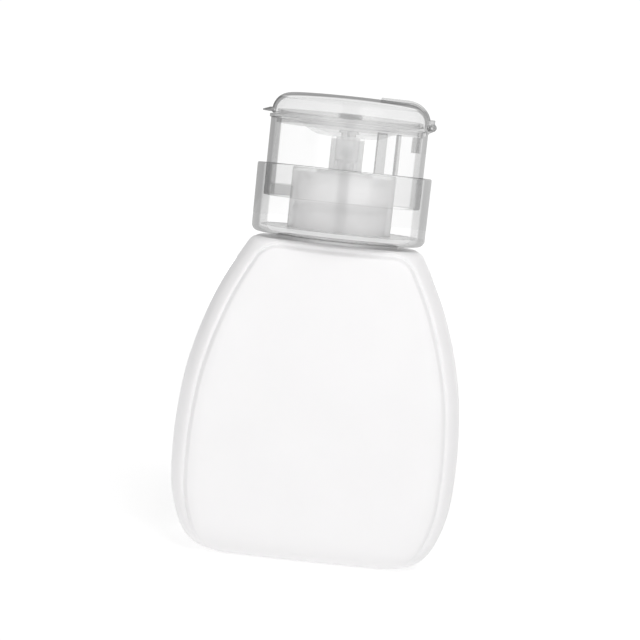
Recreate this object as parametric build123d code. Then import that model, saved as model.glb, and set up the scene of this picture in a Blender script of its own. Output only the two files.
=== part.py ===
from build123d import *
from math import asin, atan2, cos, degrees, hypot, pi, sin, sqrt
import os

# Pump-top flask for nail polish remover. Millimetres, +Z up, origin at the centre of the base.
# The front panel faces -Y. The lid opens from its tab at -X and turns on its hinge at +X.

# Bottle: an egg-shaped outline from the front, nearly flat front and back
body_height = 94.5
body_width = 86.2
body_depth = 46.0
bottle_wall = 1.2
panel_inset = 6.0
panel_rise = 0.6
panel_top_drop = 1.6
panel_top_sag = 0.8
panel_corner_radius = 3.0
base_recess_depth = 0.8
base_recess_inset = 5.0
# Sections from the base up: height, half width and half depth as shares of the sizes above
height_shares = (0.0, 0.0063, 0.0254, 0.069, 0.171, 0.303, 0.433,
                 0.563, 0.692, 0.82, 0.916, 0.965, 0.989, 1.0)
width_shares = (0.649, 0.73, 0.816, 0.898, 0.976, 1.0, 0.992,
                0.96, 0.893, 0.795, 0.694, 0.635, 0.602, 0.56)
depth_shares = (0.62, 0.735, 0.85, 0.945, 0.993, 1.0, 1.0,
                0.991, 0.97, 0.939, 0.913, 0.893, 0.861, 0.809)
front_crown_share = 0.07
side_crown_share = 0.14
corner_radius_share = 0.42

# Neck finish of the 28 mm, 6 threads per inch kind that such closures fit
neck_outer_diameter = 25.0
neck_wall = 1.6
neck_height = 18.1
neck_ring_reach = 5.8
neck_ring_height = 1.0

# Screw closure and the clear collar cup round it
closure_thread_room = 1.6
closure_wall = 1.5
closure_top_wall = 1.2
closure_skirt_gap = 2.3
closure_rim_radius = 0.6
collar_top_diameter = 52.4
collar_draft = 0.1
collar_wall = 2.2
collar_height = 20.6
collar_floor = 2.2
collar_bottom_radius = 2.0
collar_rim_round_share = 0.25
collar_ledge_width = 1.2
collar_neck_gap = 0.3

# Pump engine in the neck
gasket_thickness = 1.0
flange_thickness = 1.2
flange_overhang = 1.1
barrel_neck_gap = 2.3
barrel_wall = 1.2
barrel_depth = 43.6
barrel_floor = 2.0
inlet_hole_diameter = 3.4
socket_length = 10.0
socket_wall = 1.0
cap_sleeve_length = 7.0
cap_flange_overhang = 0.7
cap_bore_gap = 0.35

# Tube down into the liquid
tube_diameter = 5.8
tube_wall = 0.7
tube_foot_gap = 2.8
tube_slant_angle = 45

# Valves
inlet_ball_diameter = 4.4
inlet_ball_lift = 1.3
outlet_ball_diameter = 3.0
outlet_ball_lift = 1.3
outlet_ball_stop_gap = 0.65
ball_seat_gap = 0.05
cage_wall = 1.0
cage_ball_gap = 0.7
cage_base = 1.0
cage_roof = 0.9
cage_slot_width = 1.6
cage_slots = 3

# Stem, piston and spring
stroke = 7.5
stem_diameter = 5.0
stem_bore_diameter = 2.4
chamber_wall = 1.3
chamber_bore_diameter = 4.4
piston_length = 6.0
piston_bore_gap = 0.25
piston_waist = 1.1
piston_lip = 1.6
rod_flange_diameter = 11.2
rod_flange = 1.2
rod_shank = 6.0
rod_shank_gap = 0.1
rod_hole_diameter = 1.0
wire_diameter = 0.8
spring_mean_diameter = 9.2
spring_coils = 8
spring_rest_length = 20.7

# Press head: sleeve, dish and spout
skirt_slide_gap = 0.3
skirt_wall = 1.5
skirt_length = 23.2
skirt_bead_height = 3.0
skirt_bead = 0.6
skirt_rim_round_share = 0.3
skirt_stop_gap = 1.3
guide_depth = 1.2
guide_widths = (2.9, 1.1)
guide_offset_shares = (0.45, 0.676)
lug_width = 9.0
lug_depth = 2.8
lug_height = 6.3
dish_rim_overhang = 0.45
dish_rim = 0.9
dish_wall = 1.2
dish_depth = 3.5
dish_flat_diameter = 14.6
dish_ledge = 3.6
dish_shoulder_drop = 0.3
dish_spigot_height = 1.5
dish_spigot_wall = 1.1
dish_lip_height = 1.5
dish_lip_wall = 0.9
dish_lip_gap = 0.25
sleeve_diameter = 10.0
sleeve_bore_diameter = 7.2
sleeve_length = 13.4
spout_hole_diameter = 4.4
spout_fit_gap = 0.1
spout_flange_diameter = 6.0
spout_flange = 0.8
spout_plug = 2.2
spout_jet_diameter = 1.0
spout_recess = 0.4

# Lid with its tab, strap and hinge
lid_inset = 0.1
lid_height = 6.45
lid_wall = 1.4
lid_corner_radius = 5.4
lid_rim_round_share = 0.3
lid_rest_gap = 0.3
tab_reach = 2.8
tab_radius = 9.0
tab_thickness = 1.1
tab_lift = 0.5
tab_edge = 0.35
tab_taper = 2.0
strap_width = 12.0
strap_rise = 1.1
strap_side_rise = 0.6
strap_corner_radius = 6.9
strap_start = 8.6
hinge_radius = 1.15
hinge_offset = 0.9
hinge_lift = 0.55
knuckle_width = 8.0
ear_width = 2.0
ear_gap = 0.3
pin_diameter = 1.1
pin_gap = 0.08
lid_plug_disc_diameter = 8.8
lid_plug_disc = 1.5
lid_plug_disc_lift = 0.4
lid_plug_boss_diameter = 5.2
lid_plug_pin_diameter = 2.6
lid_plug_tip_gap = 0.3

# Shared clearances
moving_gap = 0.3
seat_gap = 0.15
overrun = 1.0

# Diameters that follow from the sizes above
neck_bore_diameter = neck_outer_diameter - 2 * neck_wall
neck_ring_diameter = neck_outer_diameter + 2 * neck_ring_reach
barrel_diameter = neck_bore_diameter - 2 * barrel_neck_gap
barrel_bore_diameter = barrel_diameter - 2 * barrel_wall
flange_diameter = neck_outer_diameter + 2 * flange_overhang
cap_flange_diameter = barrel_bore_diameter + 2 * cap_flange_overhang
closure_diameter = neck_outer_diameter + 2 * (closure_thread_room + closure_wall)
collar_bottom_diameter = collar_top_diameter - 2 * collar_draft
skirt_diameter = collar_bottom_diameter - 2 * (collar_wall + skirt_slide_gap)
dish_rim_diameter = skirt_diameter + 2 * dish_rim_overhang
lid_diameter = skirt_diameter - 2 * lid_inset
dish_spigot_diameter = skirt_diameter - 2 * (skirt_wall + seat_gap)
dish_lip_diameter = lid_diameter - 2 * (lid_wall + dish_lip_gap)

# Heights that follow from the sizes above
neck_top = body_height + neck_height
ring_top = body_height + neck_ring_height
gasket_top = neck_top + gasket_thickness
flange_top = gasket_top + flange_thickness
closure_top = flange_top + closure_top_wall
closure_bottom = body_height + closure_skirt_gap
collar_bottom = ring_top + collar_neck_gap
collar_top = collar_bottom + collar_height
collar_floor_top = collar_bottom + collar_floor
skirt_bottom = collar_floor_top + skirt_stop_gap + stroke
skirt_top = skirt_bottom + skirt_length
dish_top = skirt_top + dish_rim
dish_floor_top = dish_top - dish_depth
dish_floor_bottom = dish_floor_top - dish_wall
sleeve_bottom = dish_floor_bottom - sleeve_length
barrel_floor_top = gasket_top - barrel_depth
socket_top = barrel_floor_top - barrel_floor
socket_bottom = socket_top - socket_length
cage_top = barrel_floor_top + cage_base
lid_bottom = dish_top + lid_rest_gap
lid_top = lid_bottom + lid_height
lid_ceiling = lid_top - lid_wall
hinge_x = skirt_diameter / 2 + hinge_offset
hinge_z = dish_top + hinge_lift
inlet_seat_rise = sqrt((inlet_ball_diameter / 2) ** 2 - (inlet_hole_diameter / 2) ** 2)
outlet_seat_rise = sqrt((outlet_ball_diameter / 2) ** 2 - (stem_bore_diameter / 2) ** 2)
inlet_ball_z = barrel_floor_top + inlet_seat_rise + ball_seat_gap
outlet_ball_top = dish_floor_top - spout_plug - outlet_ball_stop_gap - outlet_ball_lift
outlet_ball_z = outlet_ball_top - outlet_ball_diameter / 2
chamber_bottom = outlet_ball_z - outlet_seat_rise - ball_seat_gap
cage_roof_bottom = inlet_ball_z + inlet_ball_diameter / 2 + inlet_ball_lift + ball_seat_gap
rod_bottom = cage_top + spring_rest_length
stem_bottom = rod_bottom + rod_flange + piston_waist


def ring(outer_diameter, inner_diameter, low, high):
    """A plain ring or sleeve standing on the pump's axis."""
    height = high - low
    solid = Cylinder(outer_diameter / 2, height, align=(Align.CENTER, Align.CENTER, Align.MIN))
    bore = Cylinder(inner_diameter / 2, height, align=(Align.CENTER, Align.CENTER, Align.MIN))
    return Pos(0, 0, low) * (solid - bore)


def rod(diameter, low, high):
    """A plain round bar standing on the pump's axis."""
    bar = Cylinder(diameter / 2, high - low, align=(Align.CENTER, Align.CENTER, Align.MIN))
    return Pos(0, 0, low) * bar


def turned(*points, rounds=()):
    """A piece turned on the pump's axis from its half outline of radius and height. Each of the
    rounds is a radius with the outline's points that it softens."""
    face = make_face(Polyline(*points, close=True))
    for radius, *corners in rounds:
        spots = [Vector(*corner) for corner in corners]
        reach = radius / 2
        chosen = [v for v in face.vertices() if min((v.center() - spot).length for spot in spots) < reach]
        face = fillet(chosen, radius)
    return revolve(Plane.XZ * face, Axis.Z)


def block(low, high):
    """A box between two corners."""
    size = [b - a for a, b in zip(low, high)]
    middle = [(a + b) / 2 for a, b in zip(low, high)]
    return Pos(*middle) * Box(*size)


def bottle_section(height, half_width, half_depth):
    """One level section: crowned front, back and sides with round corners."""
    front_crown = half_depth * front_crown_share
    side_crown = half_depth * side_crown_share
    corner_x = half_width - side_crown
    corner_y = half_depth - front_crown
    outline = [
        ThreePointArc((-corner_x, -corner_y), (0, -half_depth), (corner_x, -corner_y)),
        ThreePointArc((corner_x, -corner_y), (half_width, 0), (corner_x, corner_y)),
        ThreePointArc((corner_x, corner_y), (0, half_depth), (-corner_x, corner_y)),
        ThreePointArc((-corner_x, corner_y), (-half_width, 0), (-corner_x, -corner_y)),
    ]
    face = make_face(outline)
    face = fillet(face.vertices(), half_depth * corner_radius_share)
    return Pos(0, 0, height) * face


def bottle_form(shrink, deepen):
    """The bottle's body, smaller by a wall all round or deeper at the front and back."""
    sections = []
    for height, width, depth in zip(height_shares, width_shares, depth_shares):
        level = shrink + height * (body_height - 2 * shrink)
        half_width = width * body_width / 2 - shrink
        half_depth = depth * body_depth / 2 - shrink + deepen
        sections.append(bottle_section(level, half_width, half_depth))
    return loft(sections)


def panel_outline():
    """The front panel: the bottle's own outline drawn in, with a slightly hollow top edge."""
    panel_top = body_height - panel_top_drop
    levels = []
    for height, width in zip(height_shares, width_shares):
        level = height * body_height
        if level < panel_top - panel_corner_radius:
            levels.append((width * body_width / 2 - panel_inset, level))
    share = (panel_top - levels[-1][1]) / (body_height - levels[-1][1])
    last_half = width_shares[-1] * body_width / 2 - panel_inset
    top_half = levels[-1][0] + share * (last_half - levels[-1][0])
    right = levels + [(top_half, panel_top)]
    left = [(-x, z) for x, z in reversed(right)]
    outline = [
        Spline(*right),
        ThreePointArc(right[-1], (0, panel_top - panel_top_sag), left[0]),
        Spline(*left),
        Line(left[-1], right[0]),
    ]
    face = make_face(outline)
    top_corners = face.vertices().sort_by(Axis.Y)[-2:]
    return fillet(top_corners, panel_corner_radius)


def make_bottle():
    body = bottle_form(0, 0)
    raised = bottle_form(0, panel_rise)
    panel = extrude(Plane.XZ * panel_outline(), body_depth, both=True)
    body = body + (raised & panel)
    body = body + rod(neck_ring_diameter, body_height - bottle_wall, ring_top)
    body = body + rod(neck_outer_diameter, body_height - bottle_wall, neck_top)
    body = body - bottle_form(bottle_wall, 0)
    body = body - rod(neck_bore_diameter, body_height / 2, neck_top + overrun)
    half_width = width_shares[0] * body_width / 2 - base_recess_inset
    half_depth = depth_shares[0] * body_depth / 2 - base_recess_inset
    recess = extrude(bottle_section(0, half_width, half_depth), base_recess_depth)
    thickened = extrude(bottle_section(bottle_wall, half_width, half_depth), base_recess_depth)
    return body + thickened - recess


def make_closure():
    outer = closure_diameter / 2
    inner = outer - closure_wall
    hole = cap_flange_diameter / 2 + moving_gap
    return turned(
        (inner, closure_bottom), (outer, closure_bottom), (outer, closure_top),
        (hole, closure_top), (hole, flange_top), (inner, flange_top),
        rounds=[(closure_rim_radius, (outer, closure_top))])


def make_collar():
    top = collar_top_diameter / 2
    bottom = collar_bottom_diameter / 2
    seat = closure_diameter / 2 + seat_gap
    ledge = closure_diameter / 2 - collar_ledge_width
    rim = (top, collar_top), (top - collar_wall, collar_top)
    return turned(
        (ledge, collar_bottom), (bottom, collar_bottom), *rim, (bottom - collar_wall, collar_floor_top),
        (seat, collar_floor_top), (seat, closure_bottom), (ledge, closure_bottom),
        rounds=[(collar_bottom_radius, (bottom, collar_bottom)),
                (collar_wall * collar_rim_round_share, *rim, (bottom - collar_wall, collar_floor_top))])


def make_gasket():
    return ring(neck_outer_diameter, barrel_diameter + 2 * moving_gap, neck_top, gasket_top)


def make_housing():
    bore = barrel_bore_diameter / 2
    barrel = barrel_diameter / 2
    tube = tube_diameter / 2
    socket = tube + socket_wall
    hole = inlet_hole_diameter / 2
    return turned(
        (tube, socket_bottom), (socket, socket_bottom), (socket, socket_top - barrel_floor),
        (barrel, barrel_floor_top - barrel_wall), (barrel, gasket_top),
        (flange_diameter / 2, gasket_top), (flange_diameter / 2, flange_top), (bore, flange_top),
        (bore, barrel_floor_top), (hole, barrel_floor_top), (hole, socket_top), (tube, socket_top))


def make_housing_cap():
    sleeve = barrel_bore_diameter / 2 - seat_gap
    bore = sleeve_diameter / 2 + cap_bore_gap
    low = flange_top - cap_sleeve_length
    flange = cap_flange_diameter / 2
    return turned(
        (bore, low), (sleeve, low), (sleeve, flange_top), (flange, flange_top),
        (flange, closure_top), (bore, closure_top))


def make_dip_tube():
    foot = bottle_wall + base_recess_depth + tube_foot_gap
    tube = ring(tube_diameter, tube_diameter - 2 * tube_wall, foot, socket_top)
    slab = Box(2 * tube_diameter, 2 * tube_diameter, tube_diameter)
    slant = Pos(0, 0, foot) * Rot(0, tube_slant_angle, 0) * slab
    return tube - Pos(tube_diameter / 2, 0, -tube_diameter / 2) * slant


def make_ball_cage():
    inner = inlet_ball_diameter / 2 + cage_ball_gap
    outer = inner + cage_wall
    base = barrel_bore_diameter / 2 - seat_gap
    roof_top = cage_roof_bottom + cage_roof
    cage = turned(
        (inner, barrel_floor_top), (base, barrel_floor_top), (base, cage_top), (outer, cage_top),
        (outer, roof_top), (inlet_hole_diameter / 2, roof_top), (inlet_hole_diameter / 2, cage_roof_bottom),
        (inner, cage_roof_bottom))
    half_slot = cage_slot_width / 2
    slot = block((0, -half_slot, cage_top + cage_wall / 2), (base, half_slot, cage_roof_bottom))
    for turn in range(cage_slots):
        cage = cage - Rot(0, 0, turn * 360 / cage_slots) * slot
    return cage


def arc_pair(start, start_way, end, end_way):
    """Two arcs that join smoothly between two points with a direction at each."""
    chord = end - start
    ways = start_way + end_way
    lean = start_way.dot(end_way) - 1
    cross = chord.dot(ways)
    reach = (cross - sqrt(cross ** 2 - 2 * lean * chord.dot(chord))) / (2 * lean)
    middle = (start + end + (start_way - end_way) * reach) * 0.5
    first = Edge.make_tangent_arc(start, start_way, middle)
    second = Edge.make_tangent_arc(middle, first % 1, end)
    return [first, second]


def helix_point(turn, radius, low, rise):
    """Point and direction on the spring's centre line after a number of turns."""
    angle = 2 * pi * turn
    point = Vector(radius * cos(angle), radius * sin(angle), low + rise * turn)
    way = Vector(-2 * pi * radius * sin(angle), 2 * pi * radius * cos(angle), rise).normalized()
    return point, way


def make_spring():
    """The return spring: one unbroken wire wound on quarter turns."""
    radius = spring_mean_diameter / 2
    low = cage_top + wire_diameter / 2
    rise = (spring_rest_length - wire_diameter) / spring_coils
    edges = []
    for step in range(4 * spring_coils):
        start, start_way = helix_point(step / 4, radius, low, rise)
        end, end_way = helix_point((step + 1) / 4, radius, low, rise)
        edges += arc_pair(start, start_way, end, end_way)
    path = Wire(edges)
    section = Plane(origin=path @ 0, z_dir=path % 0) * Circle(wire_diameter / 2)
    print("spring: least gap between turns", round(rise - wire_diameter, 3), "mm")
    return sweep(section, path)


def make_piston_rod():
    shank = stem_bore_diameter / 2 - rod_shank_gap
    hole = rod_hole_diameter / 2
    flange = rod_flange_diameter / 2
    flange_top_z = rod_bottom + rod_flange
    return turned(
        (hole, rod_bottom), (flange, rod_bottom), (flange, flange_top_z), (shank, flange_top_z),
        (shank, flange_top_z + rod_shank), (hole, flange_top_z + rod_shank))


def make_piston():
    """Sealing ring with a lip at each end and a waist between."""
    inner = stem_diameter / 2
    lip = barrel_bore_diameter / 2 - piston_bore_gap
    waist = lip - piston_waist
    low = rod_bottom + rod_flange
    high = low + piston_length
    shank = stem_bore_diameter / 2
    return turned(
        (shank, low), (lip, low), (lip, low + piston_lip), (waist, low + piston_lip + piston_waist),
        (waist, high - piston_lip - piston_waist), (lip, high - piston_lip), (lip, high), (inner, high),
        (inner, stem_bottom), (shank, stem_bottom))


def make_stem():
    bore = stem_bore_diameter / 2
    chamber = chamber_bore_diameter / 2
    outer = chamber + chamber_wall
    tube = stem_diameter / 2
    shoulder = chamber_bottom - chamber_wall
    return turned(
        (bore, stem_bottom), (tube, stem_bottom), (tube, shoulder - (outer - tube)), (outer, shoulder),
        (outer, dish_floor_bottom), (chamber, dish_floor_bottom), (chamber, chamber_bottom),
        (bore, chamber_bottom))


def make_ball(diameter, height):
    return Pos(0, 0, height) * Sphere(diameter / 2)


def make_dish():
    """Concave tray with a rim on the skirt, a spigot in it, a lip inside the lid and the sleeve below."""
    rim = dish_rim_diameter / 2
    spigot = dish_spigot_diameter / 2
    spigot_inner = spigot - dish_spigot_wall
    spigot_low = skirt_top - dish_spigot_height
    lip = dish_lip_diameter / 2
    lip_inner = lip - dish_lip_wall
    lip_top = dish_top + dish_lip_height
    shoulder = spigot - dish_ledge
    flat = dish_flat_diameter / 2
    under = skirt_top - dish_shoulder_drop
    brow = dish_top - dish_shoulder_drop
    hole = spout_hole_diameter / 2
    sleeve = sleeve_diameter / 2
    bore = sleeve_bore_diameter / 2
    inward = (-1, 0)
    outward = (1, 0)
    outline = [
        Polyline((hole, dish_floor_top), (hole, dish_floor_bottom), (bore, dish_floor_bottom),
                 (bore, sleeve_bottom), (sleeve, sleeve_bottom), (sleeve, dish_floor_bottom),
                 (flat, dish_floor_bottom)),
        Spline((flat, dish_floor_bottom), (shoulder, under), tangents=(outward, outward)),
        Polyline((shoulder, under), (spigot_inner, under), (spigot_inner, spigot_low), (spigot, spigot_low),
                 (spigot, skirt_top), (rim, skirt_top), (rim, dish_top), (lip, dish_top), (lip, lip_top),
                 (lip_inner, lip_top), (lip_inner, brow), (shoulder, brow)),
        Spline((shoulder, brow), (flat - dish_wall / 2, dish_floor_top), tangents=(inward, inward)),
        Line((flat - dish_wall / 2, dish_floor_top), (hole, dish_floor_top)),
    ]
    dish = revolve(Plane.XZ * make_face(outline), Axis.Z)
    half = knuckle_width / 2 + ear_gap + ear_width + ear_gap
    notch_x = hinge_x - hinge_radius - 2 * moving_gap
    notch = block((notch_x, -half, skirt_top - overrun), (rim + overrun, half, dish_top + overrun))
    keep = rod(2 * spigot, skirt_top - overrun, dish_top + overrun)
    return dish - (notch - keep)


def make_nozzle_insert():
    plug = spout_hole_diameter / 2 - spout_fit_gap
    flange = spout_flange_diameter / 2
    jet = spout_jet_diameter / 2
    top = dish_floor_top + spout_flange
    low = dish_floor_top - spout_plug
    return turned(
        (jet, low), (plug, low), (plug, dish_floor_top), (flange, dish_floor_top),
        (flange, top - spout_recess), (flange - spout_recess, top), (jet, top))


def hinge_bar(diameter, low_y, high_y):
    """A round bar on the hinge's axis."""
    bar = Cylinder(diameter / 2, high_y - low_y, align=(Align.CENTER, Align.CENTER, Align.MIN))
    return Pos(hinge_x, high_y, hinge_z) * Rot(90, 0, 0) * bar


def make_skirt():
    """Sliding sleeve with a bead at its foot, two inner guides, a lug and the hinge ears."""
    outer = skirt_diameter / 2
    inner = outer - skirt_wall
    bead = inner - skirt_bead
    bead_top = skirt_bottom + skirt_bead_height
    foot = (bead, skirt_bottom), (outer, skirt_bottom)
    skirt = turned(
        *foot, (outer, skirt_top), (inner, skirt_top), (inner, bead_top + skirt_bead), (bead, bead_top),
        rounds=[(skirt_wall * skirt_rim_round_share, *foot)])
    top = skirt_top - dish_spigot_height - moving_gap
    for width, share in zip(guide_widths, guide_offset_shares):
        guide = block((inner - guide_depth, -width / 2, skirt_bottom),
                      (inner + skirt_wall / 2, width / 2, top))
        skirt = skirt + Rot(0, 0, degrees(asin(share)) - 90) * guide
    lug = block((inner - lug_depth, -lug_width / 2, skirt_top - lug_height),
                (inner + skirt_wall / 2, lug_width / 2, top))
    skirt = skirt + lug
    near = knuckle_width / 2 + ear_gap
    far = near + ear_width
    root = outer - skirt_wall / 2
    low = skirt_top - hinge_radius
    reach = hypot(hinge_x - root, hinge_z - low)
    lean = asin(hinge_radius / reach) + atan2(hinge_z - low, hinge_x - root) - pi / 2
    nose = (hinge_x + hinge_radius * cos(lean), hinge_z + hinge_radius * sin(lean))
    ear_face = make_face(Polyline(
        (root, low), nose, (hinge_x, hinge_z), (hinge_x - hinge_radius, hinge_z), (root, skirt_top),
        close=True))
    for side in (-1, 1):
        plate = extrude(Plane.XZ * ear_face, -ear_width)
        middle = side * (near + far) / 2 - ear_width / 2
        ear = Pos(0, middle, 0) * plate + hinge_bar(2 * hinge_radius, middle, middle + ear_width)
        skirt = skirt + ear
    return skirt - hinge_bar(pin_diameter, -far - overrun, far + overrun)


def lid_cap(side_grow, top_grow, corner_radius):
    """The lid's outer form, larger at the side and on top where the strap lies on it."""
    half = lid_diameter / 2 + side_grow
    top = lid_top + top_grow
    return turned(
        (0, lid_bottom), (half, lid_bottom), (half, top), (0, top),
        rounds=[(corner_radius, (half, top)), (lid_wall * lid_rim_round_share, (half, lid_bottom))])


def lid_hollow():
    """The space inside the lid, one wall in from its outer form."""
    half = lid_diameter / 2 - lid_wall
    low = lid_bottom - overrun
    return turned(
        (0, low), (half, low), (half, lid_ceiling), (0, lid_ceiling),
        rounds=[(lid_corner_radius - lid_wall, (half, lid_ceiling))])


def make_lid():
    """Clear cap with a thumb tab on the left and a raised strap down to the hinge."""
    half = lid_diameter / 2
    tab_low = lid_bottom + tab_lift
    tab = Pos(tab_radius - half - tab_reach, 0, tab_low) * turned(
        (0, 0), (tab_radius, 0), (tab_radius, tab_edge), (tab_radius - tab_taper, tab_thickness),
        (0, tab_thickness), rounds=[(tab_edge / 2, (tab_radius, 0), (tab_radius, tab_edge))])
    strap_zone = block((strap_start, -strap_width / 2, lid_bottom),
                       (half + hinge_offset + strap_rise, strap_width / 2, lid_top + strap_rise + overrun))
    strap = lid_cap(strap_side_rise, strap_rise, strap_corner_radius) & strap_zone
    web_half = knuckle_width / 2
    web = block((half - lid_wall, -web_half, hinge_z),
                (hinge_x + hinge_radius / 2, web_half, hinge_z + 2 * hinge_radius))
    knuckle = hinge_bar(2 * hinge_radius, -web_half, web_half)
    web_form = lid_cap(strap_rise + hinge_radius, 0, lid_corner_radius)
    lid = lid_cap(0, 0, lid_corner_radius) + tab + strap + knuckle + (web & web_form)
    lid = lid - lid_hollow()
    far = web_half + ear_gap + ear_width + ear_gap
    clear = 2 * (hinge_radius + moving_gap)
    for low_y, high_y in ((-far, -web_half), (web_half, far)):
        lid = lid - hinge_bar(clear, low_y, high_y)
    return lid - hinge_bar(pin_diameter + 2 * pin_gap, -far, far)


def make_lid_seal():
    """Plug below the lid that closes the spout."""
    disc_low = lid_bottom + lid_plug_disc_lift
    disc_high = disc_low + lid_plug_disc
    tip = dish_floor_top + spout_flange + lid_plug_tip_gap
    plug = rod(lid_plug_pin_diameter, tip, disc_low) + rod(lid_plug_disc_diameter, disc_low, disc_high)
    return plug + rod(lid_plug_boss_diameter, disc_high, lid_ceiling)


def make_hinge_pin():
    reach = knuckle_width / 2 + ear_gap + ear_width
    return hinge_bar(pin_diameter, -reach, reach)


def main():
    os.makedirs("parts", exist_ok=True)
    pieces = {
        "bottle": make_bottle(),
        "neck_gasket": make_gasket(),
        "pump_housing": make_housing(),
        "housing_cap": make_housing_cap(),
        "dip_tube": make_dip_tube(),
        "ball_cage": make_ball_cage(),
        "inlet_ball": make_ball(inlet_ball_diameter, inlet_ball_z),
        "return_spring": make_spring(),
        "piston": make_piston(),
        "piston_rod": make_piston_rod(),
        "stem": make_stem(),
        "outlet_ball": make_ball(outlet_ball_diameter, outlet_ball_z),
        "closure": make_closure(),
        "collar": make_collar(),
        "skirt": make_skirt(),
        "dish": make_dish(),
        "nozzle_insert": make_nozzle_insert(),
        "hinge_pin": make_hinge_pin(),
        "lid": make_lid(),
        "lid_seal": make_lid_seal(),
    }
    for name, piece in pieces.items():
        export_step(piece, f"parts/{name}.step")


main()
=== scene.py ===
import math

import bpy
import numpy as np
from mathutils import Euler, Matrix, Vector


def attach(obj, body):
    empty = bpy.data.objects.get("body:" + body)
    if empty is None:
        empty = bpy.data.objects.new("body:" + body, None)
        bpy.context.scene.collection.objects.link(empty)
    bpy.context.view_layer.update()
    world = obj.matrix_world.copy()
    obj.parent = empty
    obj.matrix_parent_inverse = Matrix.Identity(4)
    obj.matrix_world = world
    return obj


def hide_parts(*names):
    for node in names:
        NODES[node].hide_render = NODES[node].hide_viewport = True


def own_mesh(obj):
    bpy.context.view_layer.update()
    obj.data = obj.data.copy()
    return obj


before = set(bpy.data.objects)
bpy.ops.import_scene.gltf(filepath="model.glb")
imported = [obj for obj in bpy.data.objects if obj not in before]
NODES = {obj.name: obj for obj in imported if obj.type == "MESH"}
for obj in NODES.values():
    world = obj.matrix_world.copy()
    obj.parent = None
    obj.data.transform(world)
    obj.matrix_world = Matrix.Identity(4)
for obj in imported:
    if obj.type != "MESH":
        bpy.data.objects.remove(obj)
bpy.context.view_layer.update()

MM = 0.001

# Camera of the photograph, found from the collar's edges and the flask's outline
CAMERA_DISTANCE = 480 * MM
CAMERA_HEIGHT = 117.1 * MM
CAMERA_SIDE = -2.65 * MM
CAMERA_PITCH = 5.52
CAMERA_ROLL = 6.1
FOCAL_PIXELS = 1593.6
IMAGE_PIXELS = 640
SENSOR_WIDTH = 36.0
CLIP_START = 10 * MM

# Bottle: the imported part's outline, as heights, widths and depths in shares of its size
HEIGHT_SHARES = (0.0, 0.0063, 0.0254, 0.069, 0.171, 0.303, 0.433,
                 0.563, 0.692, 0.82, 0.916, 0.965, 0.989, 1.0)
WIDTH_SHARES = (0.649, 0.73, 0.816, 0.898, 0.976, 1.0, 0.992,
                0.96, 0.893, 0.795, 0.694, 0.635, 0.602, 0.56)
DEPTH_SHARES = (0.62, 0.735, 0.85, 0.945, 0.993, 1.0, 1.0,
                0.991, 0.97, 0.939, 0.913, 0.893, 0.861, 0.809)
BODY_HEIGHT = 94.5 * MM
BODY_WIDTH = 86.2 * MM
BODY_DEPTH = 46.0 * MM
FRONT_CROWN_SHARE = 0.07
SIDE_CROWN_SHARE = 0.14
CORNER_RADIUS_SHARE = 0.42
PANEL_INSET = 6.0 * MM
PANEL_RISE = 0.6 * MM
PANEL_TOP_DROP = 1.6 * MM
PANEL_TOP_SAG = 0.8 * MM
PANEL_TOP_HALF_WIDTH = 22.0 * MM
PANEL_CORNER_RADIUS = 4.0 * MM
PANEL_EDGE = 1.3 * MM
GROOVE_DEPTH = 0.55 * MM
GROOVE_WIDTH = 0.45 * PANEL_EDGE
GROOVE_FADE = (2 * MM, 12 * MM)
BOTTLE_WALL = 1.2 * MM
BASE_RECESS = 0.8 * MM
BASE_RECESS_SHARES = (0.80, 0.76, 0.4)
NECK_RADIUS = 12.5 * MM
NECK_BORE_RADIUS = 10.9 * MM
NECK_TOP = 112.6 * MM
NECK_RING_RADIUS = 18.3 * MM
NECK_RING_TOP = 95.5 * MM
NECK_EDGE_ROUNDING = 0.3 * MM
NECK_FOOT_ROUNDING = 0.8 * MM
RING_ROUNDING = 0.4 * MM
RING_FOOT_SPREAD = 0.5 * MM
BORE_FOOT = BODY_HEIGHT - 1.5 * MM
HOLLOW_FLOOR = BOTTLE_WALL + 0.9 * MM

# How finely the bottle's skin is divided: rings between two rows of the outline and over the
# panel's top edge, points in each part of a quarter section, and heights of the hollow's rings
SPAN_STEPS = 9
PANEL_TOP_RINGS = 22
PANEL_TOP_ZONE = (4.5 * MM, 0.6 * MM)
FRONT_STEPS, EDGE_STEPS, SIDE_STEPS = 22, 20, 14
HOLLOW_SHARES = (0.97, 0.93, 0.86, 0.74, 0.6, 0.45, 0.3, 0.18, 0.09, 0.04, 0.015)

# Points in a rounding's arc, and how far past it the next points lie, in shares of its radius
ARC_STEPS = 7
ARC_LEAD_SHARE = 0.12

# Lamps: name, place, target, diameter in metres and power in watts
LAMPS = (
    ("key", (0.40, -0.85, 1.1), (0, 0, 0.07), 0.7, 7.2),
    ("fill", (-0.6, -1.0, 0.60), (0, 0, 0.05), 1.0, 3.3),
    ("top", (-0.1, 0.3, 1.3), (0, 0, 0.07), 0.9, 0.5),
    ("back", (0.1, 1.3, 0.35), (0, 0, 0.09), 1.2, 8.0),
)

# Surroundings: brightness of the backdrop, of the fill light, and of the room in gloss
WHITE_LEVEL = 1.05
FILL_STRENGTH = 0.40
GLOSS_DARK = 0.25
GLOSS_SOFTBOX = 1.2
# Parts of a ray's direction over which the room grows lighter to the right, a softbox on either
# side of the camera begins and ends, and the left one gives way to the right one. The left one is
# dimmer, by a share
ROOM_STEP = (-0.9, 0.4)
SOFTBOX_START = (0.06, 0.22)
SOFTBOX_END = (0.55, 0.8)
SOFTBOX_FRONT = (-0.4, -0.1)
SOFTBOX_SIDES = (-0.1, 0.1)
SOFTBOX_LEFT_SHARE = 0.55

# Times a ray may bounce or pass a clear face: the head alone has many of them in a row
MAX_BOUNCES = 24

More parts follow.
